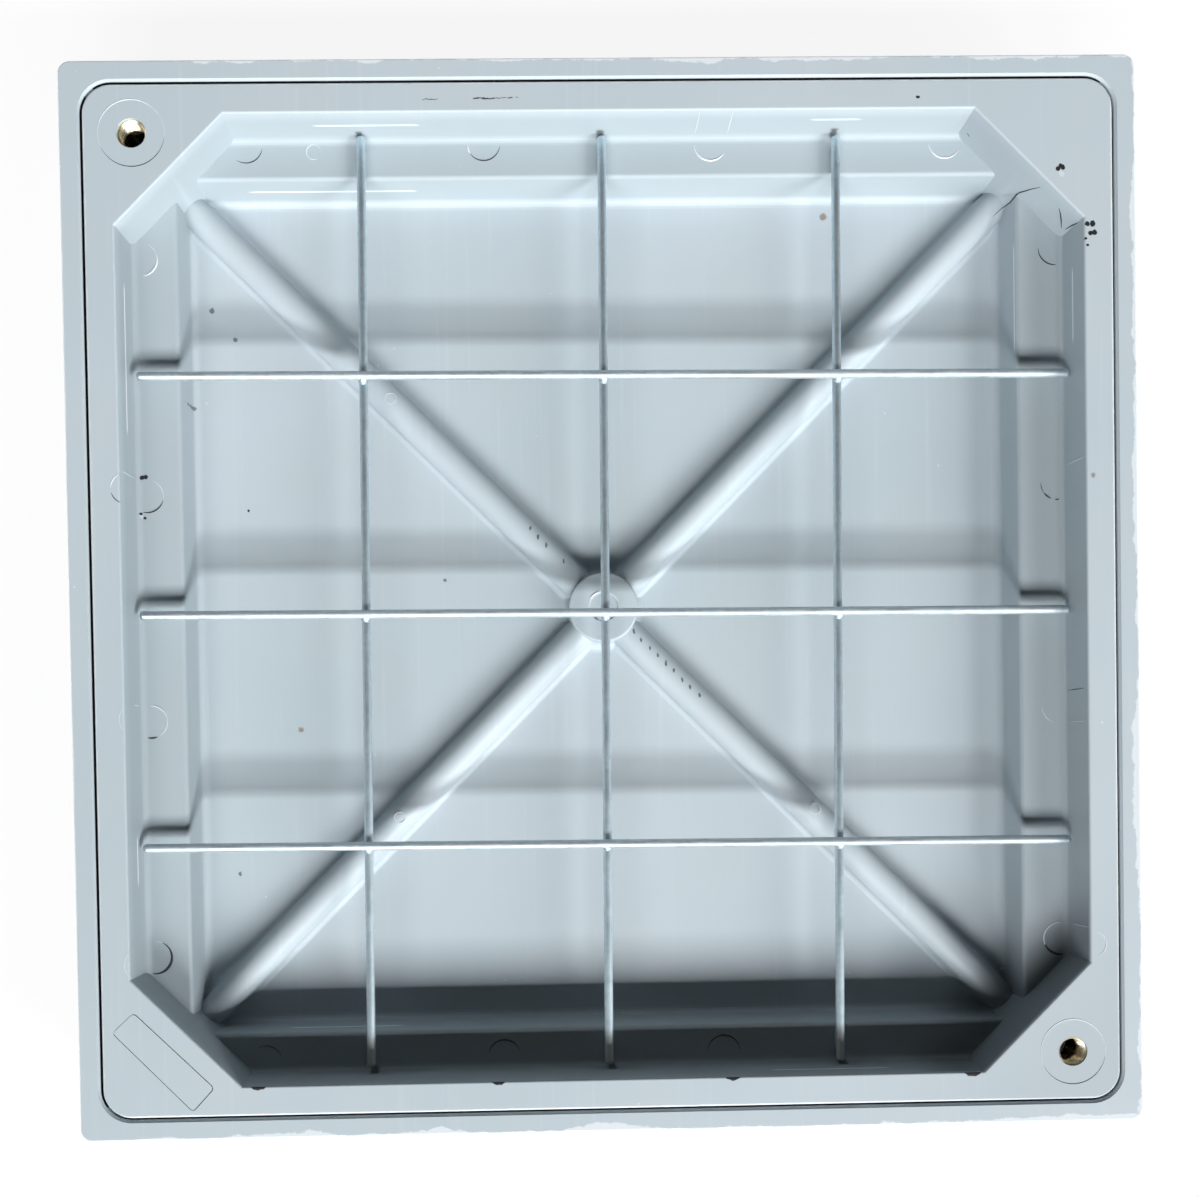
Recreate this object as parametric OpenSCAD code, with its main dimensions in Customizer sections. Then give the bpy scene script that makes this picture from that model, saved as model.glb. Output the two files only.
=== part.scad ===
// Recessed manhole cover: a square moulded tray with a stepped, chamfered recess sits flush in a square moulded frame.
// A welded grid of six round bars lies on the ledge of the recess, and two threaded bushes sit in opposite corners.
// The model stands on its base at z = 0, with the origin at the centre of the base. X runs right, Y runs up the picture.

/* [Frame] */
// Overall width of the frame, along X
frame_w = 600; // [450:1:900]
// Overall length of the frame, along Y
frame_l = 600; // [450:1:900]
// Height of the frame
frame_h = 70; // [66:1:120]
// Width of the frame's top face
frame_rim = 11.5; // [10:0.5:20]
// Radius of the frame's outer corners
frame_corner_r = 7; // [3:0.5:15]
// Height of the band round the top of the frame's outer face
frame_top_band = 12; // [8:0.5:18]
// Height of the band round the foot of the frame's outer face
frame_foot_band = 8; // [5:0.5:12]
// How far the outer face is set back between the two bands
frame_waist = 4; // [2:0.5:5]
// Width of the shelf that the cover rests on
seat_w = 22; // [18:0.5:26]
// Thickness of the shelf that the cover rests on
seat_t = 9; // [6:0.5:12]
// Radius of the shelf's inner corners
seat_corner_r = 10; // [4:1:20]
// Number of upright ribs on each outer face
frame_ribs = 9; // [3:2:15]
// Thickness of the upright ribs and of the gussets under the shelf
frame_rib_t = 6; // [4:0.5:8]

/* [Cover] */
// Gap between the cover and the frame, all round
seat_gap = 1.5; // [0.5:0.5:3]
// Radius of the cover's corners
cover_corner_r = 16; // [10:0.5:22]
// Width of the flat rim round the recess
cover_rim = 16.5; // [12:0.5:30]
// Depth of the ledge below the rim
ledge_depth = 26.5; // [18:0.5:30]
// Width of the ledges at the left and right
side_ledge = 25.5; // [15:0.5:32]
// Width of the ledges at the top and bottom
end_ledge = 22.5; // [15:0.5:32]
// Depth of the recess floor below the ledge
well_depth = 25.5; // [22:0.5:34]
// Thickness of the moulding under the ledge
ledge_t = 8; // [5:0.5:9]
// Thickness of the moulding round and under the well
well_t = 7; // [5:0.5:8]
// Leg of the chamfer across each corner of the recess
corner_leg = 61; // [50:0.5:72]
// Draft of the recess walls, in degrees
draft = 5; // [2:0.5:7]
// Fillet where the upper wall meets the ledge
ledge_fillet = 4; // [2:0.5:5]
// Fillet where the lower wall meets the floor
floor_fillet = 5; // [2:0.5:7]
// Rounding of the moulding's free edges
edge_r = 1.2; // [0.6:0.1:2]
// Rounding of the ledge's inner edge
ledge_edge_r = 2.4; // [1:0.1:4]

/* [Floor ribs] */
// Height of the diagonal ribs above the floor
rib_h = 13; // [8:0.5:16]
// Width of the diagonal ribs above their fillets
rib_w = 18; // [12:0.5:24]
// Fillet along the foot of each rib
rib_fillet = 3.5; // [1.5:0.5:5]
// Diameter of the boss where the ribs cross
boss_d = 41; // [34:0.5:60]
// Height of the boss above the floor
boss_h = 15; // [10:0.5:18]
// Fillet round the foot of the boss
boss_fillet = 5.2; // [2.2:0.5:8.2]
// Diameter of the shallow dimple in the boss
dimple_d = 16; // [8:0.5:24]
// Depth of the dimple
dimple_depth = 0.6; // [0.3:0.1:1.5]

/* [Lifting bushes] */
// Distance of each bush from the cover's two nearest edges
bush_inset = 27; // [25:0.5:32]
// Outer diameter of each bush
bush_d = 23; // [20:0.5:28]
// Length of each bush
bush_l = 25; // [15:0.5:26]
// Diameter of the bore, which is the minor diameter of the thread
bush_bore = 13.84; // [8:0.02:16]
// Diameter of the opening in the moulding above and below each bush
bush_mouth = 16.4; // [14:0.1:18]
// Depth of the top of each bush below the rim
bush_sunk = 1.5; // [1:0.1:3]

/* [Bar grid] */
// Diameter of the bars
bar_d = 5; // [4:0.5:8]
// Spacing of the bars that run along X
long_bar_pitch = 134; // [90:1:150]
// Spacing of the bars that run along Y
cross_bar_pitch = 136; // [90:1:150]
// How far the middle bars stand off the centre of the grid
bar_bias = 1.5; // [-3:0.1:3]
// Place of the grid's centre along X
grid_x = -1.5; // [-3:0.1:3]
// Place of the grid's centre along Y
grid_y = -4.5; // [-6:0.1:6]
// Turn of the grid in the recess, in degrees
grid_turn = -0.4; // [-0.5:0.1:0.5]
// Gap between the ends of the bars along X and the wall of the recess
long_bar_gap = 2.4; // [2:0.1:6]
// Gap between the ends of the bars along Y and the wall of the recess
cross_bar_gap = 2; // [1.5:0.1:4]
// How far the bars along X are pushed towards their right end
long_bar_push = 1.2; // [-1.2:0.1:1.2]
// Rounding of the cropped bar ends
bar_end_r = 2; // [0.5:0.1:2]
// How deep each bar along X is fused into those along Y
weld_sink = 0.6; // [0.2:0.1:1]
// Radius of the weld bead at each crossing
weld_r = 3.1; // [2.6:0.1:4]
// Height of the pads on the ledge that the bars along Y rest on
pad_h = 3; // [1:0.5:5]
// Width of the pads, which is less than that of the bars
pad_w = 4; // [3:0.5:4]
// Length of the pads, along Y
pad_l = 12; // [6:0.5:14]

/* [Hidden] */

$fn = 48;
arc_steps = 5;
// How far a cut runs past the face it opens, and a joined piece runs into its neighbour
past = 1;
// A length that is longer than the whole cover
beyond = frame_w + frame_l;
// Share of the waist's depth that its ribs fill
rib_reach = 0.85;

// Heights of the faces that the pieces share
rim_z = frame_h;
ledge_z = rim_z - ledge_depth;
floor_z = ledge_z - well_depth;
seat_z = ledge_z - ledge_t;
under_z = floor_z - well_t;

// Plan sizes of the frame, its opening and the cover
opening_w = frame_w - 2 * frame_rim;
opening_l = frame_l - 2 * frame_rim;
cover_w = opening_w - 2 * seat_gap;
cover_l = opening_l - 2 * seat_gap;
opening_r = cover_corner_r + seat_gap;

// Half widths of the recess at the rim, across X, across Y and across the diagonals
recess_x = cover_w / 2 - cover_rim;
recess_y = cover_l / 2 - cover_rim;
recess_diagonal = (recess_x + recess_y - corner_leg) / sqrt(2);

// Angle at which a floor rib runs from the centre to the middle of a corner's chamfer
rib_angle = atan2(recess_y - corner_leg / 2, recess_x - corner_leg / 2);

// Half widths of the well at the ledge
well_x = wall_at(recess_x, ledge_depth) - side_ledge;
well_y = wall_at(recess_y, ledge_depth) - end_ledge;

// Heights of the bars and their half lengths, which stop short of the upper wall
cross_bar_z = ledge_z + pad_h + bar_d / 2;
long_bar_z = cross_bar_z + bar_d - weld_sink;
long_bar_half = wall_at(recess_x, rim_z - long_bar_z) - long_bar_gap;
cross_bar_half = wall_at(recess_y, rim_z - cross_bar_z) - cross_bar_gap;
pad_y = well_y + ledge_edge_r + pad_l / 2;

// Places of the bushes
bush_x = cover_w / 2 - bush_inset;
bush_y = cover_l / 2 - bush_inset;
bush_base_z = rim_z - bush_sunk - bush_l;

frame_colour = [0.74, 0.79, 0.82];
cover_colour = [0.76, 0.80, 0.83];
brass_colour = [0.72, 0.58, 0.30];
steel_colour = [0.66, 0.68, 0.70];

// Half width of a drafted wall at a depth below its own top
function wall_at(half, depth) = half - depth * tan(draft);

function arc(centre, radius, from, to) =
    [for (i = [0:arc_steps]) let (a = from + (to - from) * i / arc_steps) centre + radius * [cos(a), sin(a)]];

// Rounded free edge at the top of a drafted wall, from the face above it down onto the wall
function round_edge(half, top_z, radius) =
    arc([wall_at(half, radius) + radius / cos(draft), top_z - radius], radius, 90, 180 - draft);

// Fillet at the foot of a drafted wall, from the wall down onto the face below it
function foot_fillet(half, top_z, foot_z, radius) =
    arc([wall_at(half, top_z - foot_z - radius) - radius / cos(draft), foot_z + radius], radius, -draft, -90);

// Right half of the recess across a side: rim, upper wall, ledge, lower wall and floor
function side_half(half, well_half) = concat(
    [[half + 2 * edge_r, rim_z + past]],
    round_edge(half, rim_z, edge_r),
    foot_fillet(half, rim_z, ledge_z, ledge_fillet),
    round_edge(well_half, ledge_z, ledge_edge_r),
    foot_fillet(well_half, ledge_z, floor_z, floor_fillet));

// Right half of the recess across a diagonal, where one wall runs from the rim to the floor
function diagonal_half(half) = concat(
    [[half + 2 * edge_r, rim_z + past]],
    round_edge(half, rim_z, edge_r),
    foot_fillet(half, rim_z, floor_z, floor_fillet));

function mirrored(points) = [for (i = [len(points) - 1:-1:0]) [-points[i].x, points[i].y]];

// A section through XZ, drawn out along Y
module draw_out(points) {
    rotate([90, 0, 0]) linear_extrude(beyond, center = true) polygon(concat(points, mirrored(points)));
}

// The hollow of the tray, as what all four drawn-out sections have in common
module recess() {
    intersection() {
        draw_out(side_half(recess_x, well_x));
        rotate(90) draw_out(side_half(recess_y, well_y));
        rotate(45) draw_out(diagonal_half(recess_diagonal));
        rotate(-45) draw_out(diagonal_half(recess_diagonal));
    }
}

// Right half of the outside of the well, one wall thickness out from the inside and rounded at the bottom edge
function well_outer_half(half, top_z) = concat(
    [[half + well_t, seat_z + past]],
    foot_fillet(half + well_t, top_z, under_z, floor_fillet + well_t));

module well_outside() {
    intersection() {
        draw_out(well_outer_half(well_x, ledge_z));
        rotate(90) draw_out(well_outer_half(well_y, ledge_z));
        rotate(45) draw_out(well_outer_half(recess_diagonal, rim_z));
        rotate(-45) draw_out(well_outer_half(recess_diagonal, rim_z));
    }
}

// A block with rounded corners. Its side follows a list of [step outwards, height] points, from the bottom up.
module profiled_block(w, l, r, side) {
    bottom_z = side[0].y;
    top_z = side[len(side) - 1].y;
    side_x = [for (p = side) [w / 2 + p.x, p.y]];
    side_y = [for (p = side) [l / 2 + p.x, p.y]];
    rotate([90, 0, 0]) linear_extrude(l - 2 * r, center = true) polygon(concat(side_x, mirrored(side_x)));
    rotate(90) rotate([90, 0, 0]) linear_extrude(w - 2 * r, center = true) polygon(concat(side_y, mirrored(side_y)));
    post = concat([[0, bottom_z]], [for (p = side) [r + p.x, p.y]], [[0, top_z]]);
    for (sx = [-1, 1], sy = [-1, 1])
        translate([sx * (w / 2 - r), sy * (l / 2 - r), 0]) rotate_extrude() polygon(post);
}

function straight_side(from_z, to_z) = [[0, from_z], [0, to_z]];

// A straight side whose top edge is broken at 45 degrees, for an opening
function flared_side(from_z, top_z) = [[0, from_z], [0, top_z - edge_r], [edge_r + past, top_z + past]];

function eased_top(top_z) = [for (i = [0:arc_steps])
    let (a = 90 * i / arc_steps) [edge_r * (cos(a) - 1), top_z + edge_r * (sin(a) - 1)]];

// Section of one half of a floor rib: a round crown on a stem, with a fillet along its foot
module rib_section() {
    stem_h = rib_h - rib_w / 2;
    translate([0, stem_h]) circle(d = rib_w);
    translate([-rib_w / 2, -well_t / 2]) square([rib_w, stem_h + well_t / 2]);
    for (side = [-1, 1])
        difference() {
            translate([side * (rib_w / 2 + rib_fillet / 2), rib_fillet / 2 - well_t / 4])
                square([rib_fillet, rib_fillet + well_t / 2], center = true);
            translate([side * (rib_w / 2 + rib_fillet), rib_fillet]) circle(rib_fillet);
        }
}

// One rib from the centre of the floor into the wall across a corner, which it meets at or near a right angle
module floor_rib() {
    reach = wall_at(recess_diagonal, rim_z - floor_z) / cos(rib_angle - 45) + well_t / 2;
    translate([0, 0, floor_z]) rotate([90, 0, 90]) linear_extrude(reach) rib_section();
}

// Round boss over the crossing of the ribs, with a filleted foot and a shallow dimple
module boss() {
    foot_r = boss_d / 2 + boss_fillet;
    dimple_z = boss_h - dimple_depth;
    outline = concat([[0, -well_t / 2], [foot_r, -well_t / 2]],
                     arc([foot_r, boss_fillet], boss_fillet, 270, 180),
                     arc([boss_d / 2 - edge_r, boss_h - edge_r], edge_r, 0, 90),
                     [[dimple_d / 2 + dimple_depth, boss_h], [dimple_d / 2, dimple_z], [0, dimple_z]]);
    translate([0, 0, floor_z]) rotate_extrude() polygon(outline);
}

// The way through the moulding for one bush: the mouth above and below it, and the pocket that it fills
module bush_way() {
    translate([0, 0, seat_z - past]) cylinder(d = bush_mouth, h = rim_z - seat_z + 2 * past);
    translate([0, 0, bush_base_z]) cylinder(d = bush_d, h = bush_l);
}

module cover_tray() {
    color(cover_colour) {
        difference() {
            union() {
                profiled_block(cover_w, cover_l, cover_corner_r, concat([[0, seat_z]], eased_top(rim_z)));
                well_outside();
            }
            recess();
            translate([-bush_x, bush_y, 0]) bush_way();
            translate([bush_x, -bush_y, 0]) bush_way();
        }
        for (angle = [rib_angle, 180 - rib_angle, 180 + rib_angle, -rib_angle])
            rotate(angle) floor_rib();
        boss();
        in_grid()
            for (i = [1:3], end = [-1, 1])
                translate([cross_bar_x(i), end * pad_y - grid_y, ledge_z]) rest_pad();
    }
}

// A pad on the ledge under the end of one bar, rooted in the moulding
module rest_pad() {
    translate([-pad_w / 2, -pad_l / 2, -past]) cube([pad_w, pad_l, past + pad_h]);
}

// Outer face of the frame: a foot band, a waist and a top band with an eased edge
function frame_side() = concat(
    [[0, 0], [0, frame_foot_band], [-frame_waist, frame_foot_band + frame_waist / 2],
     [-frame_waist, rim_z - frame_top_band - frame_waist / 2], [0, rim_z - frame_top_band]],
    eased_top(rim_z));

// Upright ribs that fill the waist along one pair of opposite faces, just inside the two bands
module waist_ribs(across, along) {
    pitch = along / (frame_ribs + 1);
    waist_h = rim_z - frame_top_band - frame_foot_band;
    for (i = [1:frame_ribs], side = [0, 1])
        rotate(180 * side)
            translate([across / 2 - frame_waist - past, i * pitch - along / 2 - frame_rib_t / 2, frame_foot_band])
                cube([past + frame_waist * rib_reach, frame_rib_t, waist_h]);
}

// Triangular gussets under the shelf along one pair of opposite walls
module seat_gussets(across, along) {
    pitch = along / (frame_ribs + 1);
    drop = min(seat_w, seat_z - seat_t - past);
    for (i = [1:2:frame_ribs], side = [0, 1])
        rotate(180 * side)
            translate([across / 2, i * pitch - along / 2 + frame_rib_t / 2, seat_z - seat_t])
                rotate([90, 0, 0]) linear_extrude(frame_rib_t)
                    polygon([[past, past], [-seat_w, past], [-seat_w, 0], [0, -drop], [past, -drop]]);
}

module frame() {
    color(frame_colour) {
        difference() {
            profiled_block(frame_w, frame_l, frame_corner_r, frame_side());
            profiled_block(opening_w, opening_l, opening_r, flared_side(seat_z, rim_z));
            profiled_block(opening_w - 2 * seat_w, opening_l - 2 * seat_w, seat_corner_r, straight_side(-past, rim_z));
            profiled_block(opening_w, opening_l, opening_r, straight_side(-past, seat_z - seat_t));
        }
        waist_ribs(frame_w, frame_l);
        rotate(90) waist_ribs(frame_l, frame_w);
        seat_gussets(opening_w, opening_l);
        rotate(90) seat_gussets(opening_l, opening_w);
    }
}

// A threaded bush without its thread: a barrel that the cover is moulded round
module lifting_insert() {
    color(brass_colour)
        translate([0, 0, bush_base_z])
            difference() {
                cylinder(d = bush_d, h = bush_l);
                translate([0, 0, -past]) cylinder(d = bush_bore, h = bush_l + 2 * past);
            }
}

// A round bar along X with rounded ends
module bar(half_l) {
    profile = concat([[0, -half_l]], arc([bar_d / 2 - bar_end_r, bar_end_r - half_l], bar_end_r, 270, 360),
                     arc([bar_d / 2 - bar_end_r, half_l - bar_end_r], bar_end_r, 0, 90), [[0, half_l]]);
    rotate([0, 90, 0]) rotate_extrude() polygon(profile);
}

// Places of the three bars of each set, from the grid's centre
function cross_bar_x(i) = (i - 2) * cross_bar_pitch + (i == 2 ? bar_bias : 0);
function long_bar_y(i) = (i - 2) * long_bar_pitch - (i == 2 ? bar_bias : 0);

module in_grid() {
    translate([grid_x, grid_y, 0]) rotate(grid_turn) children();
}

module cross_bar_solid(i) {
    translate([cross_bar_x(i), -grid_y, cross_bar_z]) rotate(90) bar(cross_bar_half);
}

module cross_bar(i) {
    color(steel_colour) in_grid() cross_bar_solid(i);
}

// A bar along X with its weld beads, cut where the bars along Y are fused into it
module long_bar(i) {
    color(steel_colour) in_grid() difference() {
        union() {
            translate([long_bar_push - grid_x, long_bar_y(i), long_bar_z]) bar(long_bar_half);
            for (j = [1:3])
                translate([cross_bar_x(j), long_bar_y(i) - bar_d / 4, long_bar_z - bar_d / 2 + weld_sink])
                    sphere(weld_r);
        }
        for (j = [1:3])
            cross_bar_solid(j);
    }
}

frame();
cover_tray();
translate([-bush_x, bush_y, 0]) lifting_insert();  // lifting_insert_a
translate([bush_x, -bush_y, 0]) lifting_insert();  // lifting_insert_b
long_bar(1);  // long_bar_1
long_bar(2);  // long_bar_2
long_bar(3);  // long_bar_3
cross_bar(1);  // cross_bar_1
cross_bar(2);  // cross_bar_2
cross_bar(3);  // cross_bar_3
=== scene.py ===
"""Looks of a square recessed access cover that rests in its frame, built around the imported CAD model."""

import math

import bmesh
import bpy
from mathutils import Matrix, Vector


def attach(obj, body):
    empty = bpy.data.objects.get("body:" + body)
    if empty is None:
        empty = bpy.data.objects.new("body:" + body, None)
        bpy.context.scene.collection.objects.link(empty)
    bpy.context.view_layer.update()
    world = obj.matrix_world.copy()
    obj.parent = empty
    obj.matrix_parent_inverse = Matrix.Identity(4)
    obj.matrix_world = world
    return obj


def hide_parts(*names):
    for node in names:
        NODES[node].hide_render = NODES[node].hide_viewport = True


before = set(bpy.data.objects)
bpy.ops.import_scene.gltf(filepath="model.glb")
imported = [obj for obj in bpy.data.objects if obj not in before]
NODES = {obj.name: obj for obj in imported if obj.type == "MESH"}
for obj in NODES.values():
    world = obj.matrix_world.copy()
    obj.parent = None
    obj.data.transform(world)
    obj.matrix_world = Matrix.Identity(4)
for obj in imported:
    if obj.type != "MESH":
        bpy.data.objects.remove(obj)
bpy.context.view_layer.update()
bpy.context.scene.view_settings.view_transform = "Standard"

# Faces of the frame and the tray, in metres: heights above the base, and distances from the middle
RIM_Z = 0.070
LEDGE_Z = 0.0435
RIB_TOP_Z = 0.031
BOSS_TOP_Z = 0.033
FRAME_HALF = 0.300
COVER_HALF = 0.287
LEDGE_HALF = 0.2682
LEDGE_FILLET = 0.004
EDGE_ROUND = 0.0006
DRAFT = math.tan(math.radians(5))


# Node graphs

def rgba(r, g, b):
    return (r, g, b, 1.0)


class Graph:
    """A shader tree with short ways to add nodes. A method returns an output unless it says otherwise."""

    def __init__(self, tree):
        self.tree = tree
        self.tree.nodes.clear()

    def add(self, kind, ins=None, **props):
        """Adds a node, sets its inputs to values or links them to outputs, and returns the node."""
        node = self.tree.nodes.new(kind)
        for key, value in props.items():
            setattr(node, key, value)
        for key, value in (ins or {}).items():
            socket = node.inputs[key]
            if isinstance(value, bpy.types.NodeSocket):
                self.tree.links.new(value, socket)
            else:
                socket.default_value = value
        return node

    def coordinates(self):
        """The object coordinates as a vector, and then x, y and z."""
        place = self.add("ShaderNodeTexCoord").outputs["Object"]
        split = self.add("ShaderNodeSeparateXYZ", {0: place}).outputs
        return place, split[0], split[1], split[2]

    def math(self, op, a, b=0.0):
        return self.add("ShaderNodeMath", {0: a, 1: b}, operation=op).outputs[0]

    def vmath(self, op, a, b=(0, 0, 0)):
        node = self.add("ShaderNodeVectorMath", {0: a, 1: b}, operation=op)
        return node.outputs["Value" if op in ("DISTANCE", "DOT_PRODUCT") else "Vector"]

    def scaled(self, vector, factor):
        node = self.add("ShaderNodeVectorMath", {0: vector, "Scale": factor}, operation="SCALE")
        return node.outputs["Vector"]

    def joined(self, values, op="MAXIMUM"):
        result = values[0]
        for value in values[1:]:
            result = self.math(op, result, value)
        return result

    def times(self, *values):
        return self.joined(values, "MULTIPLY")

    def ramp(self, value, low, high, to_low=0.0, to_high=1.0, smooth=True):
        """Maps low..high to to_low..to_high, clamped."""
        ends = {"Value": value, "From Min": low, "From Max": high, "To Min": to_low, "To Max": to_high}
        kind = "SMOOTHSTEP" if smooth else "LINEAR"
        return self.add("ShaderNodeMapRange", ends, interpolation_type=kind).outputs[0]

    def fade(self, value, low, high):
        """1 below low and 0 above high."""
        return self.ramp(value, low, high, 1.0, 0.0)

    def noise(self, vector, scale, detail, rough=0.5):
        """Adds a noise texture and returns the node."""
        return self.add("ShaderNodeTexNoise", {"Vector": vector, "Scale": scale, "Detail": detail,
                                               "Roughness": rough})

    def cells(self, vector, scale, channel, threshold, widest):
        """Signed depth inside round spots, one in each cell whose random channel is over the threshold."""
        cells = self.add("ShaderNodeTexVoronoi", {"Vector": vector, "Scale": scale}).outputs
        pick = self.add("ShaderNodeSeparateColor", {0: cells["Color"]}).outputs[channel]
        radius = self.ramp(pick, threshold, 1.0, 0.0, widest, False)
        return self.math("SUBTRACT", radius, cells["Distance"])

    def mix(self, share, a, b):
        return self.add("ShaderNodeMix", {0: share, 6: a, 7: b}, data_type="RGBA").outputs[2]

    def paint(self, colour, mask, share, paint):
        """The colour with a share of the paint laid over it where the mask is 1."""
        return self.mix(self.times(mask, share), colour, paint)

    def shown_rays(self):
        """1 for camera rays, and 1 for all rays that show the background: camera, glossy and transmission."""
        path = self.add("ShaderNodeLightPath").outputs
        camera = path["Is Camera Ray"]
        return camera, self.joined([camera, path["Is Glossy Ray"], path["Is Transmission Ray"]])


def material(name):
    mat = bpy.data.materials.new(name)
    mat.use_nodes = True
    return mat, Graph(mat.node_tree)


def finish_shader(g, ins, height=None, strength=0.1, distance=0.001):
    """Principled shader to the output, with bump from a height where one is given."""
    shader = g.add("ShaderNodeBsdfPrincipled", ins)
    if height is not None:
        bump = g.add("ShaderNodeBump", {"Height": height, "Strength": strength, "Distance": distance})
        g.tree.links.new(bump.outputs[0], shader.inputs["Normal"])
    g.add("ShaderNodeOutputMaterial", {"Surface": shader.outputs[0]})


def blobs(g, flat, points):
    """Signed distance in metres, in the XY plane, to the nearest of the spots (x, y, radius) in mm."""
    found = []
    for x, y, r in points:
        away = g.vmath("DISTANCE", flat, (x / 1000, y / 1000, 0))
        found.append(g.math("SUBTRACT", away, r / 1000))
    return g.joined(found, "MINIMUM")


def strokes(g, flat, lines):
    """Signed distance in metres, in the XY plane, to the nearest line (x0, y0, x1, y1, half width) in mm."""
    found = []
    for x0, y0, x1, y1, half in lines:
        start = Vector((x0, y0, 0)) / 1000
        run = Vector((x1, y1, 0)) / 1000 - start
        unit = run.normalized()
        rel = g.vmath("SUBTRACT", flat, tuple(start))
        along = g.vmath("DOT_PRODUCT", rel, tuple(unit))
        along = g.math("MINIMUM", g.math("MAXIMUM", along, 0.0), run.length)
        foot = g.scaled(g.add("ShaderNodeCombineXYZ", {0: unit.x, 1: unit.y, 2: 0.0}).outputs[0], along)
        found.append(g.math("SUBTRACT", g.vmath("DISTANCE", rel, foot), half / 1000))
    return g.joined(found, "MINIMUM")


# Camera at the photograph's viewing angle. Its axis meets the photograph at AXIS_X, AXIS_Y, in pixels.

PHOTO_W, PHOTO_H = 1199, 1197
AXIS_X, AXIS_Y = 540, 801
FOCAL_PX = 1284
SENSOR_MM = 36
CAMERA_AT = (-0.0527, -0.1008, 0.7897)
CAMERA_TURN = (-0.957, -1.037, -0.933)
CLIP_NEAR, CLIP_FAR = 0.05, 200


def add_camera():
    data = bpy.data.cameras.new("camera")
    data.sensor_width = SENSOR_MM
    data.lens = FOCAL_PX / PHOTO_W * SENSOR_MM
    data.shift_x = (PHOTO_W / 2 - AXIS_X) / PHOTO_W
    data.shift_y = (AXIS_Y - PHOTO_H / 2) / PHOTO_W
    data.clip_start = CLIP_NEAR
    data.clip_end = CLIP_FAR
    cam = bpy.data.objects.new("camera", data)
    cam.location = CAMERA_AT
    cam.rotation_euler = [math.radians(angle) for angle in CAMERA_TURN]
    bpy.context.scene.collection.objects.link(cam)
    bpy.context.scene.camera = cam


add_camera()


# Lights: low windows on the front side that reach round to the right, and low strips for the outer walls.
# The windows stand in one plane, so that the shadows of the rim and of the bars along X keep straight edges.

WINDOW_AWAY = 10.0
# name, where it starts and ends per metre of distance, power of the upper and of the lower pane
WINDOWS = (("window_front", -0.70, 0.30, 640, 2080),
           ("window_right", 0.62, 1.25, 650, 2400),
           ("window_far", 1.25, 2.30, 530, 2250))
# name, and how far its light runs per metre that it falls, from the top and from the bottom of the pane
PANES = (("upper", 0.87, 0.95), ("lower", 0.95, 1.52))
STRIP_Z = 0.034
STRIP_SIZE = (2.0, 0.05)
# name, x, y, power
STRIPS = (("strip_left", -1.5, 0.1, 9), ("strip_back", 0.1, 1.5, 9), ("strip_right", 1.5, -0.1, 2))


def area_light(name, place, target, size, power):
    data = bpy.data.lights.new(name, "AREA")
    data.shape = "RECTANGLE"
    data.size, data.size_y = size
    data.energy = power
    lamp = bpy.data.objects.new(name, data)
    lamp.location = place
    lamp.rotation_euler = (Vector(target) - Vector(place)).to_track_quat("-Z", "Y").to_euler()
    lamp.visible_camera = False
    bpy.context.scene.collection.objects.link(lamp)


def add_lights():
    for name, left, right, *powers in WINDOWS:
        middle = (left + right) / 2 * WINDOW_AWAY
        for (pane, top_run, bottom_run), power in zip(PANES, powers):
            low_z, high_z = WINDOW_AWAY / bottom_run, WINDOW_AWAY / top_run
            place = (middle, -WINDOW_AWAY, (low_z + high_z) / 2)
            size = ((right - left) * WINDOW_AWAY, high_z - low_z)
            area_light(name + "_" + pane, place, (middle, 0, place[2]), size, power)
    for name, x, y, power in STRIPS:
        area_light(name, (x, y, STRIP_Z), (0, 0, STRIP_Z), STRIP_SIZE, power)


add_lights()


# Surroundings: white for the camera, and in gloss white low down and dark overhead

MIRRORED_LOW, MIRRORED_HIGH = 1.0, 0.10
AMBIENT_LOW, AMBIENT_HIGH = 0.14, 0.035


def add_world():
    world = bpy.data.worlds.new("studio")
    bpy.context.scene.world = world
    world.use_nodes = True
    g = Graph(world.node_tree)
    direction = g.add("ShaderNodeTexCoord").outputs["Generated"]
    up = g.add("ShaderNodeSeparateXYZ", {0: direction}).outputs[2]
    camera, shown = g.shown_rays()
    seen = g.math("MAXIMUM", g.ramp(up, 0.28, 0.48, MIRRORED_LOW, MIRRORED_HIGH), camera)
    lit = g.ramp(up, 0.10, 0.40, AMBIENT_LOW, AMBIENT_HIGH)
    level = g.math("ADD", g.times(shown, seen), g.times(g.math("SUBTRACT", 1.0, shown), lit))
    background = g.add("ShaderNodeBackground", {"Color": rgba(1, 1, 1), "Strength": level})
    g.add("ShaderNodeOutputWorld", {"Surface": background.outputs[0]})


add_world()


FLOOR_HALF = 40.0
FLOOR_DROP = 0.0004
FLOOR_COLOUR = rgba(0.9, 0.9, 0.9)
FLOOR_WHITE_SHARE = 0.90


def add_floor():
    """A white floor a hair below the base. A tenth of what shows is lit, so it keeps the object's shadow."""
    mesh = bpy.data.meshes.new("floor")
    s = FLOOR_HALF
    mesh.from_pydata([(-s, -s, 0), (s, -s, 0), (s, s, 0), (-s, s, 0)], [], [(0, 1, 2, 3)])
    floor = bpy.data.objects.new("floor", mesh)
    floor.location.z = -FLOOR_DROP
    bpy.context.scene.collection.objects.link(floor)
    mat, g = material("floor_white")
    amount = g.times(g.shown_rays()[1], FLOOR_WHITE_SHARE)
    paper = g.add("ShaderNodeBsdfDiffuse", {"Color": FLOOR_COLOUR})
    white = g.add("ShaderNodeEmission", {"Color": rgba(1, 1, 1), "Strength": 1.0})
    both = g.add("ShaderNodeMixShader", {0: amount, 1: paper.outputs[0], 2: white.outputs[0]})
    g.add("ShaderNodeOutputMaterial", {"Surface": both.outputs[0]})
    mesh.materials.append(mat)


add_floor()


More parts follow.
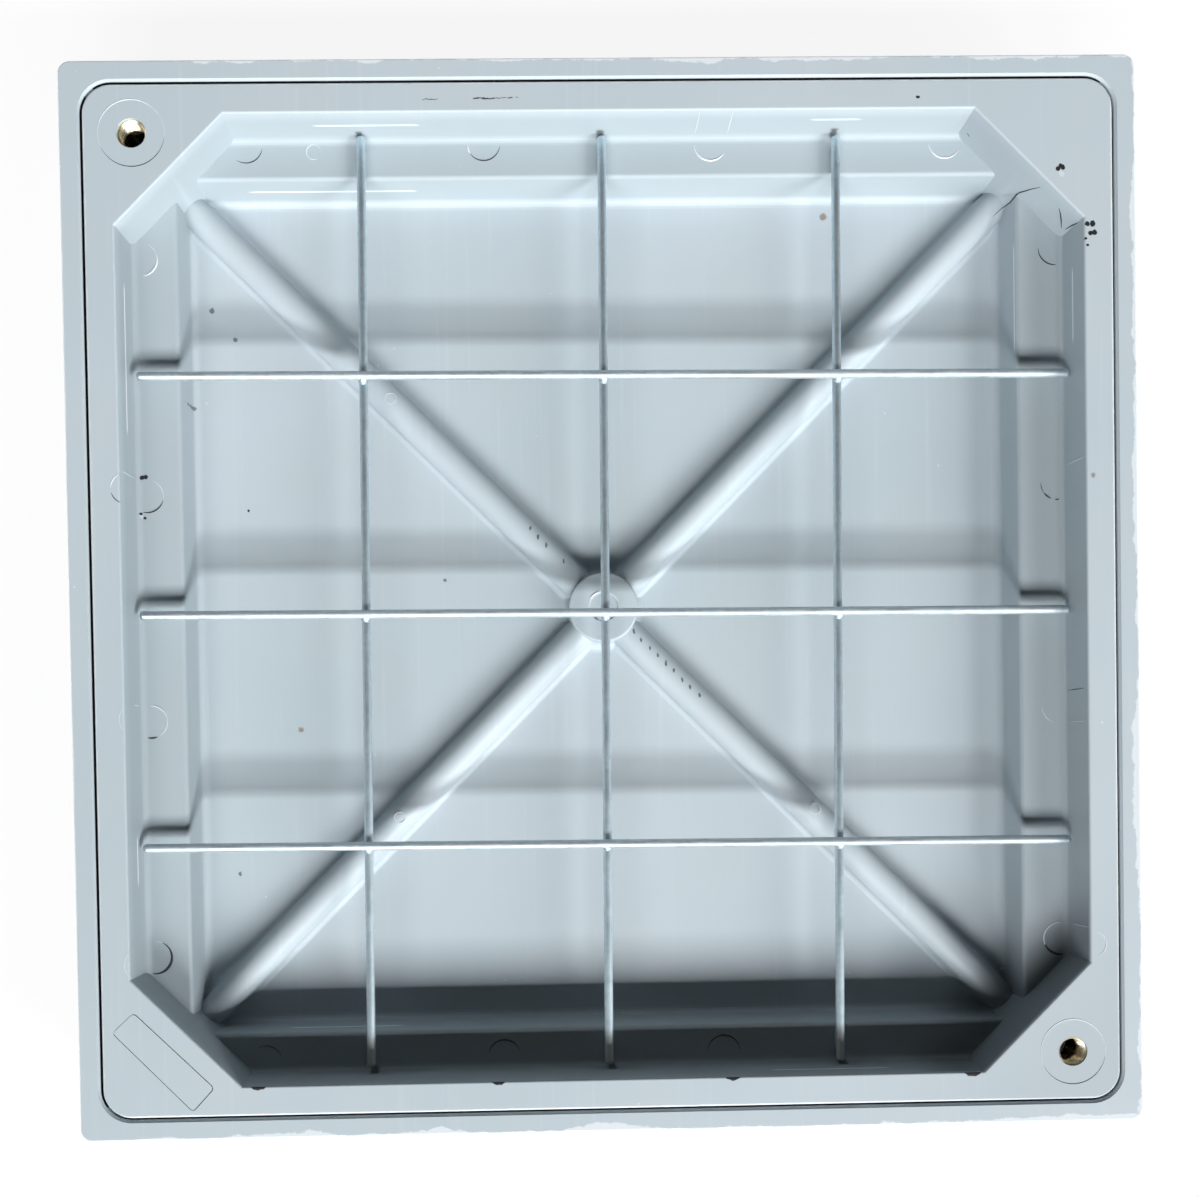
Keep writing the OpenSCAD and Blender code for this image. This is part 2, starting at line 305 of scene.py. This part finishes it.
# Wear on the tray, with painted shade and painted highlights among it, in mm: (x, y, radius) spots and (x0,
# y0, x1, y1, half width) lines

BLACK_CHIPS = ((256.1, 236.3, 1.5), (258.9, 237.3, 1.4), (257.6, 238.0, 1.2), (272.3, 205.6, 1.3),
               (275.4, 205.8, 1.7), (274.2, 200.4, 1.5), (276.1, 200.6, 1.5), (271.4, 197.3, 0.9),
               (272.5, 193.9, 0.9), (177.7, 276.7, 1.0), (-265.5, 76.4, 1.5), (-263.4, 76.8, 1.3),
               (-266.4, 55.6, 0.9), (-264.3, 53.2, 0.9), (-209.7, 61.9, 0.8))
WHITE_CHIPS = ((258.0, 233.6, 1.5), (-266.0, 54.0, 1.0), (239.0, -219.8, 0.9))
PITS = ((-216.0, 163.4, 1.3), (-229.2, 180.7, 1.6), (-240.5, 122.2, 1.1), (-93.7, 19.3, 0.9),
        (-219.4, -154.7, 1.2))
BROWN_SPOTS = ((136.3, 233.1, 2.2), (-181.3, -69.0, 1.6), (274.3, 65.2, 1.4))
CRACKS = ((-70.6, 277.6, -59.0, 277.4, 0.28), (-99.0, 277.3, -90.0, 277.4, 0.12),
          (-59.0, 277.4, -46.0, 278.0, 0.10))
# Dark bites out of the near edge of the rim, above the marks of the ejector pins
BITES = ((-200.4, -266.5, 6.0), (-65.7, -266.4, 6.0), (66.5, -266.5, 6.0), (202.7, -266.6, 6.4))
# Marks along two of the ribs, taller than wide, as (x, y)
RIB_MARKS = ((-42.4, 47.2), (-37.8, 41.8), (-33.2, 37.1), (-22.9, 27.6), (18.0, -14.2), (22.0, -19.6),
             (27.3, -24.4), (32.0, -28.6), (36.6, -33.4), (41.3, -37.6), (46.0, -43.5), (50.6, -47.7),
             (56.5, -52.6))
RIB_MARK_R = 0.62
RIB_MARK_SQUASH = 0.45
# Painted shade where the tips of the cross bars stand close to the near and the far wall
CROSS_BAR_X = (-137.5, 0.0, 134.5)
BAR_TIP_SHADE = [(x, -268.6, 2.6) for x in CROSS_BAR_X] + [(x + 1.0, 268.8, 2.0) for x in CROSS_BAR_X]
# Pale lines along the walls of the recess, partly rubbed wear and partly painted highlight. 0 is a wall along
# X and 1 a wall along Y, then come the side of the middle that it is on, where the line starts and ends, and
# its height above the base.
HIGHLIGHT_AND_WEAR_LINES = ((0, 1, -163, -100, 57.5), (0, 1, 118, 150, 60.0), (0, 1, -205, -104, 31.0),
                (1, -1, 96, 184, 57.0), (1, -1, -160, -128, 55.0),
                (1, 1, 142, 188, 57.0), (1, 1, 142, 208, 40.0),
                (0, -1, 88, 160, 59.0), (0, -1, -190, -120, 33.0))
HIGHLIGHT_AND_WEAR_END = 0.006

# Colours of the compound and of what lies on it, and of painted shade and highlights
DARK_COMPOUND = rgba(0.427, 0.500, 0.540)
LIGHT_COMPOUND = rgba(0.470, 0.532, 0.578)
GREEN_COMPOUND = rgba(0.435, 0.500, 0.515)
WIPED = rgba(0.56, 0.61, 0.64)
SPECK = rgba(0.10, 0.11, 0.12)
MOTE = rgba(0.68, 0.73, 0.76)
WORN = rgba(0.70, 0.75, 0.78)
# Painted shade in the recess, then deeper painted shade at the front right and in its corner
RECESS_SHADE = rgba(0.355, 0.415, 0.445)
FRONT_RIGHT_SHADE = rgba(0.33, 0.385, 0.42)
FRONT_RIGHT_CORNER_SHADE = rgba(0.16, 0.18, 0.20)
# Painted highlight, partly rubbed wear
HIGHLIGHT_AND_WEAR = rgba(0.88, 0.92, 0.94)
BROWN = rgba(0.20, 0.135, 0.085)
PIT = rgba(0.075, 0.095, 0.105)
RIB_MARK = rgba(0.045, 0.060, 0.070)
WHITE_CHIP = rgba(0.66, 0.70, 0.72)
BLACK_CHIP = rgba(0.015, 0.016, 0.018)
# Painted shade at the tips of the cross bars
BAR_TIP_SHADE_BLACK = rgba(0.05, 0.05, 0.05)
# Painted shade in the seam
SEAM_SHADE_BLACK = rgba(0.012, 0.012, 0.014)
COMPOUND_IOR_LEVEL = 0.35


# Materials

def clean_compound(g, place, patch):
    """The compound in slightly uneven tones, with fine brush lines left by wiping."""
    broad = g.noise(place, 4.0, 2.0).outputs[0]
    colour = g.mix(g.ramp(broad, 0.3, 0.7), DARK_COMPOUND, LIGHT_COMPOUND)
    colour = g.mix(g.ramp(patch, 0.42, 0.72, 0.0, 0.35), colour, GREEN_COMPOUND)
    brushed = g.add("ShaderNodeMapping", {"Vector": place, "Scale": (240.0, 5.0, 60.0)}).outputs[0]
    lines = g.noise(brushed, 1.0, 2.0, 0.6).outputs[0]
    return g.mix(g.ramp(lines, 0.55, 0.8, 0.0, 0.22), colour, WIPED)


def specks(g, place, colour):
    """Sparse dark specks, and finer pale dust."""
    speck = g.ramp(g.cells(place, 30.0, 0, 0.78, 0.034), 0.0, 0.006)
    colour = g.paint(colour, speck, 0.8, SPECK)
    motes = g.ramp(g.cells(place, 95.0, 1, 0.86, 0.09), 0.0, 0.02)
    return g.paint(colour, motes, 0.5, MOTE)


def worn_frame_edge(g, place, x, z, reach, rag):
    """A ragged worn band along the frame's outer edge, far narrower on the left side."""
    slow = g.noise(place, 22.0, 2.0).outputs[0]
    width = g.times(g.ramp(slow, 0.35, 0.75), 0.0042)
    width = g.math("ADD", width, g.times(g.math("SUBTRACT", rag, 0.5), 0.006))
    width = g.times(width, g.ramp(x, -0.29, -0.22, 0.12, 1.0))
    inset = g.math("SUBTRACT", FRAME_HALF - EDGE_ROUND, reach)
    return g.times(g.ramp(g.math("SUBTRACT", width, inset), -0.0004, 0.0006), g.ramp(z, 0.058, 0.066))


def worn_cover_edge(g, z, reach, rag):
    """A fine worn line along the tray's outer edge."""
    inset = g.math("SUBTRACT", COVER_HALF - EDGE_ROUND, reach)
    worn = g.ramp(g.math("SUBTRACT", g.times(rag, 0.0012), inset), -0.0003, 0.0004)
    return g.times(worn, g.ramp(z, 0.066, 0.069))


def tray_painted_shade(g, colour, x, y, z, reach):
    """Painted shade on the ledges and on walls that don't face left, deeper towards the front right, and
    darkest in the front right corner.
    """
    facing = g.add("ShaderNodeSeparateXYZ", {0: g.add("ShaderNodeNewGeometry").outputs["True Normal"]})
    # Painted shade: the ledges and walls of the recess are darkened, except walls facing left
    recess_shade = g.times(g.ramp(z, 0.019, 0.023), g.fade(z, 0.060, 0.0695), g.ramp(reach, 0.236, 0.241),
                   g.ramp(facing.outputs[0], -0.9, -0.5))
    colour = g.paint(colour, recess_shade, 0.75, RECESS_SHADE)
    # Painted shade, deeper towards the front right and darkest in its corner
    to_front_right = g.math("SUBTRACT", x, y)
    colour = g.paint(colour, g.ramp(to_front_right, 0.40, 0.56), 0.45, FRONT_RIGHT_SHADE)
    corner = g.times(g.ramp(to_front_right, 0.43, 0.47), g.fade(z, 0.067, 0.0695))
    return g.paint(colour, corner, 0.7, FRONT_RIGHT_CORNER_SHADE)


def highlight_and_wear_lines(g, x, y, z):
    """Where the pale lines along the walls of the recess are: painted highlights, partly rubbed wear."""
    found = []
    for across, sign, start, end, high in HIGHLIGHT_AND_WEAR_LINES:
        along, out = (y, x) if across else (x, y)
        off = g.math("ABSOLUTE", g.math("SUBTRACT", z, high / 1000))
        found.append(g.times(g.fade(off, 0.0003, 0.0009),
                             g.ramp(along, start / 1000, start / 1000 + HIGHLIGHT_AND_WEAR_END),
                             g.fade(along, end / 1000 - HIGHLIGHT_AND_WEAR_END, end / 1000),
                             g.ramp(g.times(out, sign), 0.238, 0.240)))
    return g.joined(found)


def tray_marks(g, colour, place, x, y, z):
    """Lines of wear and painted highlight, spots, pits, chips, cracks and painted shade at the bar tips, with
    ragged outlines.
    """
    flat = g.vmath("MULTIPLY", place, (1, 1, 0))
    warp = g.vmath("SUBTRACT", g.noise(place, 420.0, 1.0).outputs["Color"], (0.5, 0.5, 0.5))
    ragged = g.vmath("ADD", flat, g.scaled(warp, 0.0016))
    # Pale lines on the walls: painted highlights, partly rubbed wear
    colour = g.paint(colour, highlight_and_wear_lines(g, x, y, z), 0.90, HIGHLIGHT_AND_WEAR)
    brown = g.fade(blobs(g, ragged, BROWN_SPOTS), -0.0010, 0.0006)
    colour = g.paint(colour, brown, 0.75, BROWN)
    pits = g.fade(blobs(g, ragged, PITS), -0.0003, 0.0004)
    colour = g.paint(colour, pits, 0.80, PIT)
    squashed = g.vmath("MULTIPLY", ragged, (1, RIB_MARK_SQUASH, 0))
    marks = blobs(g, squashed, [(mx, my * RIB_MARK_SQUASH, RIB_MARK_R) for mx, my in RIB_MARKS])
    colour = g.paint(colour, g.fade(marks, -0.0002, 0.0003), 0.85, RIB_MARK)
    white = g.fade(blobs(g, ragged, WHITE_CHIPS), -0.0003, 0.0003)
    colour = g.paint(colour, white, 0.45, WHITE_CHIP)
    chips = g.fade(blobs(g, ragged, BLACK_CHIPS), -0.0002, 0.0002)
    cracks = g.fade(strokes(g, ragged, CRACKS), -0.0001, 0.0003)
    on_rim = g.ramp(z, 0.0695, 0.0698)
    bites = g.times(g.fade(blobs(g, ragged, BITES), -0.0002, 0.0003), on_rim, g.fade(y, -0.2700, -0.2695))
    colour = g.mix(g.joined([chips, cracks, bites]), colour, BLACK_CHIP)
    # Painted shade round the tips of the cross bars
    tip_shade = g.times(g.fade(blobs(g, ragged, BAR_TIP_SHADE), -0.0012, 0.0010), g.fade(z, 0.050, 0.053))
    return g.paint(colour, tip_shade, 0.8, BAR_TIP_SHADE_BLACK)


def seam_shade(g, colour, x, y, z, reach):
    """Black painted shade down in the seam between the tray and the frame, lower down on the front and right
    sides.
    """
    lower = g.ramp(g.math("SUBTRACT", x, y), -0.01, 0.01, 0.0, 0.0016)
    deep = g.fade(g.math("ADD", z, lower), 0.0680, 0.0692)
    seam = g.times(deep, g.ramp(reach, 0.2850, 0.2855), g.fade(reach, 0.2900, 0.2905))
    return g.mix(seam, colour, SEAM_SHADE_BLACK)


def moulding(name, for_frame):
    """Pale blue-grey moulded composite, satin, with dust, scratches, specks and pale worn edges; painted
    shade in the seam, and on the tray painted shade in the recess and at the bar tips and painted highlights
    along its walls.
    """
    mat, g = material(name)
    place, x, y, z = g.coordinates()
    reach = g.math("MAXIMUM", g.math("ABSOLUTE", x), g.math("ABSOLUTE", y))
    patch = g.noise(place, 17.0, 3.0).outputs[0]
    rag = g.noise(place, 120.0, 3.0, 0.65).outputs[0]
    grain = g.noise(place, 900.0, 0.0).outputs[0]
    colour = specks(g, place, clean_compound(g, place, patch))
    worn = worn_frame_edge(g, place, x, z, reach, rag) if for_frame else worn_cover_edge(g, z, reach, rag)
    colour = g.paint(colour, worn, 0.75, WORN)
    if not for_frame:
        # Painted shade in the recess
        colour = tray_painted_shade(g, colour, x, y, z, reach)
        colour = tray_marks(g, colour, place, x, y, z)
    # Painted shade in the seam
    colour = seam_shade(g, colour, x, y, z, reach)
    rough = g.math("ADD", g.ramp(patch, 0.3, 0.7, 0.42, 0.54), g.times(worn, 0.15))
    finish_shader(g, {"Base Color": colour, "Roughness": rough, "IOR": 1.5,
                      "Specular IOR Level": COMPOUND_IOR_LEVEL}, g.times(grain, 0.25), 0.12, 0.0006)
    return mat


WIRE_STREAK = rgba(0.36, 0.42, 0.46)
WIRE_TIP = rgba(0.27, 0.28, 0.27)


def zinc(name, axis, base, flake):
    """Galvanised wire drawn along an axis: satin, faint spangle, dirty at its near tip."""
    mat, g = material(name)
    place, _, y, _ = g.coordinates()
    spangle = g.add("ShaderNodeTexVoronoi", {"Vector": place, "Scale": 420.0}).outputs["Color"]
    shade = g.add("ShaderNodeSeparateColor", {0: spangle}).outputs[0]
    streak = g.noise(place, 60.0, 4.0, 0.6).outputs[0]
    colour = g.mix(g.ramp(shade, 0.1, 0.9, 0.0, 0.4), base, flake)
    colour = g.mix(g.ramp(streak, 0.55, 0.75, 0.0, 0.4), colour, WIRE_STREAK)
    colour = g.mix(g.ramp(y, -0.252, -0.244, 0.80, 0.0), colour, WIRE_TIP)
    rough = g.ramp(streak, 0.3, 0.7, 0.42, 0.56)
    height = g.math("ADD", g.times(streak, 0.6), g.times(shade, 0.2))
    along = g.add("ShaderNodeCombineXYZ", {0: axis[0], 1: axis[1], 2: axis[2]}).outputs[0]
    finish_shader(g, {"Base Color": colour, "Metallic": 0.92, "Roughness": rough, "Anisotropic": 0.6,
                      "Anisotropic Rotation": 0.25, "Tangent": along}, height, 0.1, 0.0004)
    return mat


BRIGHT_BRASS = rgba(0.86, 0.78, 0.58)
STAINED_BRASS = rgba(0.50, 0.39, 0.20)
BORE_SHADE = rgba(0.018, 0.014, 0.010)


def brass():
    """Dull brass, stained, and painted black deep in the bore as shade."""
    mat, g = material("dull_brass")
    place, _, _, z = g.coordinates()
    stain = g.noise(place, 160.0, 4.0, 0.6).outputs[0]
    colour = g.mix(g.ramp(stain, 0.45, 0.75), BRIGHT_BRASS, STAINED_BRASS)
    # Painted shade deep in the bore
    colour = g.mix(g.fade(z, 0.0565, 0.0610), colour, BORE_SHADE)
    rough = g.ramp(stain, 0.3, 0.7, 0.24, 0.42)
    finish_shader(g, {"Base Color": colour, "Metallic": 1.0, "Roughness": rough}, stain, 0.1, 0.0003)
    return mat


def plain(name, colour, rough):
    mat, g = material(name)
    finish_shader(g, {"Base Color": colour, "Roughness": rough, "Specular IOR Level": COMPOUND_IOR_LEVEL})
    return mat


COVER_MAT = moulding("cover_compound", False)
FRAME_MAT = moulding("frame_compound", True)
# Both bar sets are the same wire; the cross bars get a lighter, bluer copy of its colour, painted to match
# how they lie to the light
LONG_MAT = zinc("galvanised_wire_along_x", (1.0, 0.0, 0.0), rgba(0.47, 0.55, 0.60), rgba(0.58, 0.66, 0.71))
CROSS_MAT = zinc("galvanised_wire_along_y", (0.0, 1.0, 0.0), rgba(0.62, 0.75, 0.82), rgba(0.74, 0.86, 0.92))
BRASS_MAT = brass()
# Pale compound on the lit side of the fine raised lines, a painted highlight
HIGHLIT_TRACE_MAT = plain("highlit_trace_compound", rgba(0.66, 0.71, 0.74), 0.5)
# Near black: painted shade on the shaded side of the fine raised lines, and the colour of cracks and dirt
SHADE_AND_GRIME_MAT = plain("shade_and_grime", rgba(0.035, 0.038, 0.040), 0.7)


def add_piece(name, bm, mat, smooth=True):
    mesh = bpy.data.meshes.new(name)
    bm.to_mesh(mesh)
    bm.free()
    for face in mesh.polygons:
        face.use_smooth = smooth
    mesh.materials.append(mat)
    obj = bpy.data.objects.new(name, mesh)
    bpy.context.scene.collection.objects.link(obj)
    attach(obj, "root")


# Threads in the lifting bushes

BUSH_AT = ((-0.260, 0.260), (0.260, -0.260))
BUSH_LOW, BUSH_HIGH = 0.0435, 0.0685
BUSH_R = 0.0115
THREAD_CREST_R, THREAD_ROOT_R = 0.00692, 0.0080
THREAD_PITCH = 0.002
THREAD_SLOPE, THREAD_CREST_FLAT = 2.6, 0.15
BUSH_STEPS, LEVELS_PER_PITCH = 48, 8


def bush_ring(bm, centre, z, radius_at):
    """A level ring of vertices round the centre, with the radius that radius_at gives for each step."""
    ring = []
    for i in range(BUSH_STEPS):
        angle = 2 * math.pi * i / BUSH_STEPS
        r = radius_at(i)
        ring.append(bm.verts.new((centre[0] + r * math.cos(angle), centre[1] + r * math.sin(angle), z)))
    return ring


def thread_radius(level, i):
    phase = (level / LEVELS_PER_PITCH - i / BUSH_STEPS) % 1.0
    depth = min(1.0, max(0.0, THREAD_SLOPE * (0.5 - abs(phase - 0.5)) - THREAD_CREST_FLAT))
    return THREAD_CREST_R + (THREAD_ROOT_R - THREAD_CREST_R) * depth


def threaded_bush(name, node, centre):
    """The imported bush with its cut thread: a helical bore in a round body."""
    levels = round((BUSH_HIGH - BUSH_LOW) / THREAD_PITCH * LEVELS_PER_PITCH)
    bm = bmesh.new()
    inner = []
    for level in range(levels + 1):
        z = BUSH_LOW + (BUSH_HIGH - BUSH_LOW) * level / levels
        inner.append(bush_ring(bm, centre, z, lambda i: thread_radius(level, i)))
    outer = [bush_ring(bm, centre, z, lambda i: BUSH_R) for z in (BUSH_LOW, BUSH_HIGH)]
    for i in range(BUSH_STEPS):
        j = (i + 1) % BUSH_STEPS
        for low, high in zip(inner, inner[1:]):
            bm.faces.new((low[j], low[i], high[i], high[j]))
        bm.faces.new((outer[0][i], outer[0][j], outer[1][j], outer[1][i]))
        bm.faces.new((outer[1][i], outer[1][j], inner[-1][j], inner[-1][i]))
        bm.faces.new((outer[0][j], outer[0][i], inner[0][i], inner[0][j]))
    add_piece(name, bm, BRASS_MAT, smooth=False)
    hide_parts(node)


for letter, centre in zip("ab", BUSH_AT):
    threaded_bush("threaded_bush_" + letter, "lifting_insert_" + letter, centre)


# Traces that the mould left on the tray: fine raised lines, painted pale on their lit side as a highlight and
# dark on their shaded side as shade. Places, radii and half widths are in mm, heights in metres and arcs in
# degrees; the last value says whether the line is painted shade.

# Ejector pins on the ledges: circles that the walls cut, as the centre and the arcs that show
PIN_R = 9.4
FINE, BOLD = 0.22, 0.55
PINS = (((-263.6, 201.1), (64, 20, FINE, False), (25, -82, BOLD, False)),
        ((-262.8, 65.7), (70, -10, FINE, False), (-15, -110, 0.40, True)),
        ((-263.2, -64.1), (92, 15, 0.40, False), (15, -60, FINE, False), (-68, -104, 0.50, True)),
        ((-263.4, -200.6), (95, 60, FINE, False), (64, -104, 0.62, True)),
        ((264.8, 202.8), (180, 288, 0.35, True)),
        ((265.0, 66.9), (178, 215, FINE, True), (215, 250, 0.45, True), (262, 284, 0.45, True)),
        ((264.6, -63.4), (178, 255, FINE, False)),
        ((264.2, -199.0), (84, 224, 0.50, False), (196, 288, 0.75, True)),
        ((-202.2, 265.0), (236, 352, 0.30, True)),
        ((-65.8, 265.4), (184, 215, BOLD, False), (205, 352, 0.35, True)),
        ((65.1, 264.4), (182, 330, 0.62, False), (215, 290, 0.25, True)),
        ((201.3, 264.8), (184, 330, 0.50, False)),
        ((-62.4, -261.7), (168, 20, 0.45, True)),
        ((65.8, -261.5), (172, 5, 0.45, True)),
        ((-201.0, -262.5), (120, 15, 0.30, True)))
# Lines up the walls: the direction of the wall from the middle, the place along it, the height of the top and
# whether it is painted shade
WALL_TRACES = ((180, -75.0, 0.0695, False), (90, -55.8, 0.068, False), (90, -74.4, 0.068, False),
               (0, 76.2, 0.0690, False), (0, -54.2, 0.066, True), (0, -72.6, 0.069, False),
               (0, -189.8, 0.0690, False), (180, 55.0, 0.056, False))
WALL_TRACE_HALF = 0.24
# Ejector pins on the crests of the ribs
RIB_PINS = ((-123, 124), (-122, -122), (124, -121))
RIB_PIN_R = 3.2
RIB_PIN_HALF = 0.20
RIB_PIN_SUNK = 0.0001
# Seats of the bushes: start, end, steps, half width and whether it is painted shade
SEAT_R = 18.4
SEAT_ARCS = ((-5, 200, 60, 0.25, False), (205, 350, 48, 0.22, True))
# Arcs on the left rim, then on the right rim, the far ledge and the boss: x, y, height, radius, start, end,
# half width and whether it is painted shade
LEFT_ARCS = ((-267, 64.5, RIM_Z, 8.5, 115, 180, 0.30, False), (-267, 64.5, RIM_Z, 8.5, 195, 250, 0.25, True),
             (-264.5, -64, RIM_Z, 9, 132, 228, 0.18, False), (-264.5, -201, RIM_Z, 9, 132, 230, 0.22, False))
OTHER_ARCS = ((272.5, -199, RIM_Z, 7, -70, 75, 0.30, False),
              (-163.4, 261.5, LEDGE_Z, 4.2, 20, 300, 0.28, False),
              (0, 0, BOSS_TOP_Z, 8, 200, 250, 0.20, True),
              (0, 0, BOSS_TOP_Z, 9.2, 98, 152, 0.50, False),
              (0, 0, BOSS_TOP_Z, 9.2, 18, 74, 0.32, False))
# Cracks in the far right corner, as points in mm that run over the ledge and up the chamfered wall
CORNER_CRACKS = (((229.5, 222.0, 42.6), (234.8, 226.6, 43.0), (239.2, 229.4, 43.5), (242.8, 233.6, 44.6),
                  (243.6, 233.6, 47.2), (244.7, 232.8, 50.3), (246.9, 231.4, 56.3), (249.3, 229.7, 62.0)),
                 ((260.4, 218.4, 60.7), (262.3, 216.2, 58.3), (264.0, 214.1, 55.2), (266.0, 211.5, 50.6)),
                 ((267.6, 210.0, 52.6), (269.0, 209.6, 59.1), (270.7, 208.8, 65.8)),
                 ((211.7, 265.6, 51.6), (213.4, 264.2, 50.2)))
CORNER_CRACK_HALF = 0.42

TUBE_SIDES = 8
TUBE_TIP_SHARE = 0.25
# A direction that none of the lines runs along
TUBE_SIDEWAYS = Vector((0.31, 0.17, 0.93)).normalized()
ARC_STEPS = 28
WALL_STEPS = 8


def add_tube(bm, points, half, closed=False, taper=True):
    """A thin line through points in metres, as a closed tube that thins towards open ends. half is in mm."""
    count = len(points)
    rings = []
    for i in range(count):
        here = Vector(points[i])
        before = Vector(points[i - 1]) if i or closed else here
        after = Vector(points[(i + 1) % count]) if i < count - 1 or closed else here
        run = (after - before).normalized()
        side = run.cross(TUBE_SIDEWAYS).normalized()
        up = side.cross(run)
        share = 1.0
        if taper and not closed:
            share = TUBE_TIP_SHARE + (1 - TUBE_TIP_SHARE) * math.sin(math.pi * i / (count - 1))
        ring = []
        for k in range(TUBE_SIDES):
            turn = 2 * math.pi * k / TUBE_SIDES
            out = (side * math.cos(turn) + up * math.sin(turn)) * (half / 1000) * share
            ring.append(bm.verts.new(here + out))
        rings.append(ring)
    for i in range(count if closed else count - 1):
        a, b = rings[i], rings[(i + 1) % count]
        for k in range(TUBE_SIDES):
            m = (k + 1) % TUBE_SIDES
            bm.faces.new((a[k], a[m], b[m], b[k]))
    if not closed:
        bm.faces.new(list(reversed(rings[0])))
        bm.faces.new(rings[-1])


def arc(x, y, z, r, start, end, steps=ARC_STEPS):
    """Points of a level arc in metres, from x, y and r in mm and angles in degrees."""
    points = []
    for i in range(steps + 1):
        a = math.radians(start + (end - start) * i / steps)
        points.append(((x + r * math.cos(a)) / 1000, (y + r * math.sin(a)) / 1000, z))
    return points


def wall_trace(side, along, top):
    """A line up the wall of the recess from the ledge's fillet, on the side at that angle."""
    turn = math.radians(side)
    start = LEDGE_Z + LEDGE_FILLET
    points = []
    for i in range(WALL_STEPS + 1):
        z = start + (top - start) * i / WALL_STEPS
        out = LEDGE_HALF + (z - LEDGE_Z) * DRAFT
        x = out * math.cos(turn) - along * math.sin(turn)
        y = out * math.sin(turn) + along * math.cos(turn)
        points.append((x, y, z))
    return points


def add_arcs(pale, shade_and_grime, arcs):
    for x, y, z, r, start, end, half, in_shade in arcs:
        add_tube(shade_and_grime if in_shade else pale, arc(x, y, z, r, start, end), half)


def add_traces():
    # The first piece holds the painted highlights of the raised lines, the second their painted shade and the
    # cracks
    pale, shade_and_grime = bmesh.new(), bmesh.new()
    for (x, y), *arcs in PINS:
        for start, end, half, in_shade in arcs:
            add_tube(shade_and_grime if in_shade else pale, arc(x, y, LEDGE_Z, PIN_R, start, end), half)
    for side, along, top, in_shade in WALL_TRACES:
        add_tube(shade_and_grime if in_shade else pale, wall_trace(side, along / 1000, top), WALL_TRACE_HALF)
    for x, y in RIB_PINS:
        circle = arc(x, y, RIB_TOP_Z - RIB_PIN_SUNK, RIB_PIN_R, 0, 360)[:-1]
        add_tube(pale, circle, RIB_PIN_HALF, closed=True)
    for x, y in BUSH_AT:
        for start, end, steps, half, in_shade in SEAT_ARCS:
            seat = arc(x * 1000, y * 1000, RIM_Z, SEAT_R, start, end, steps)
            add_tube(shade_and_grime if in_shade else pale, seat, half)
    add_arcs(pale, shade_and_grime, LEFT_ARCS)
    for points in CORNER_CRACKS:
        add_tube(shade_and_grime, [Vector(p) / 1000 for p in points], CORNER_CRACK_HALF)
    add_arcs(pale, shade_and_grime, OTHER_ARCS)
    add_piece("mould_traces_highlit", pale, HIGHLIT_TRACE_MAT)
    add_piece("trace_shade_and_grime", shade_and_grime, SHADE_AND_GRIME_MAT)


add_traces()


# The thin bare plate on the corner at the front left, in mm

PLATE_CORNERS = ((-281, -239), (-269, -228), (-225, -271), (-237, -284))
PLATE_ROUND = 2.5
ROUND_STEPS = 6
PLATE_LOW, PLATE_HIGH = RIM_Z - 0.0003, RIM_Z + 0.00025
DIRT_Z = RIM_Z + 0.0001


def add_plate():
    """The plate, and dirt along three of its sides."""
    corners = [Vector(c) for c in PLATE_CORNERS]
    outline = []
    for i, corner in enumerate(corners):
        to_last = (corners[i - 1] - corner).normalized()
        to_next = (corners[(i + 1) % len(corners)] - corner).normalized()
        for step in range(ROUND_STEPS + 1):
            share = step / ROUND_STEPS
            bend = to_last * PLATE_ROUND * (1 - share) ** 2 + to_next * PLATE_ROUND * share ** 2
            outline.append((corner + bend) / 1000)
    bm = bmesh.new()
    bottom = [bm.verts.new((p.x, p.y, PLATE_LOW)) for p in outline]
    crown = [bm.verts.new((p.x, p.y, PLATE_HIGH)) for p in outline]
    count = len(outline)
    for i in range(count):
        j = (i + 1) % count
        bm.faces.new((bottom[i], bottom[j], crown[j], crown[i]))
    bm.faces.new(crown)
    bm.faces.new(list(reversed(bottom)))
    bmesh.ops.recalc_face_normals(bm, faces=bm.faces[:])
    add_piece("bare_plate", bm, COVER_MAT, smooth=False)
    dirt = bmesh.new()
    edge = [(p.x, p.y, DIRT_Z) for p in outline]
    for side, half in ((edge[10:18], 0.18), (edge[17:24], 0.28), (edge[23:] + edge[:3], 0.24)):
        add_tube(dirt, side, half, taper=False)
    add_piece("plate_dirt", dirt, SHADE_AND_GRIME_MAT)


add_plate()


def dress(node, mat):
    for slot in NODES[node].material_slots:
        slot.material = mat


dress("frame", FRAME_MAT)
dress("cover_tray", COVER_MAT)
for name in NODES:
    if "_bar_" in name:
        dress(name, LONG_MAT if name.startswith("long") else CROSS_MAT)
    if name.startswith("lifting_insert"):
        dress(name, BRASS_MAT)
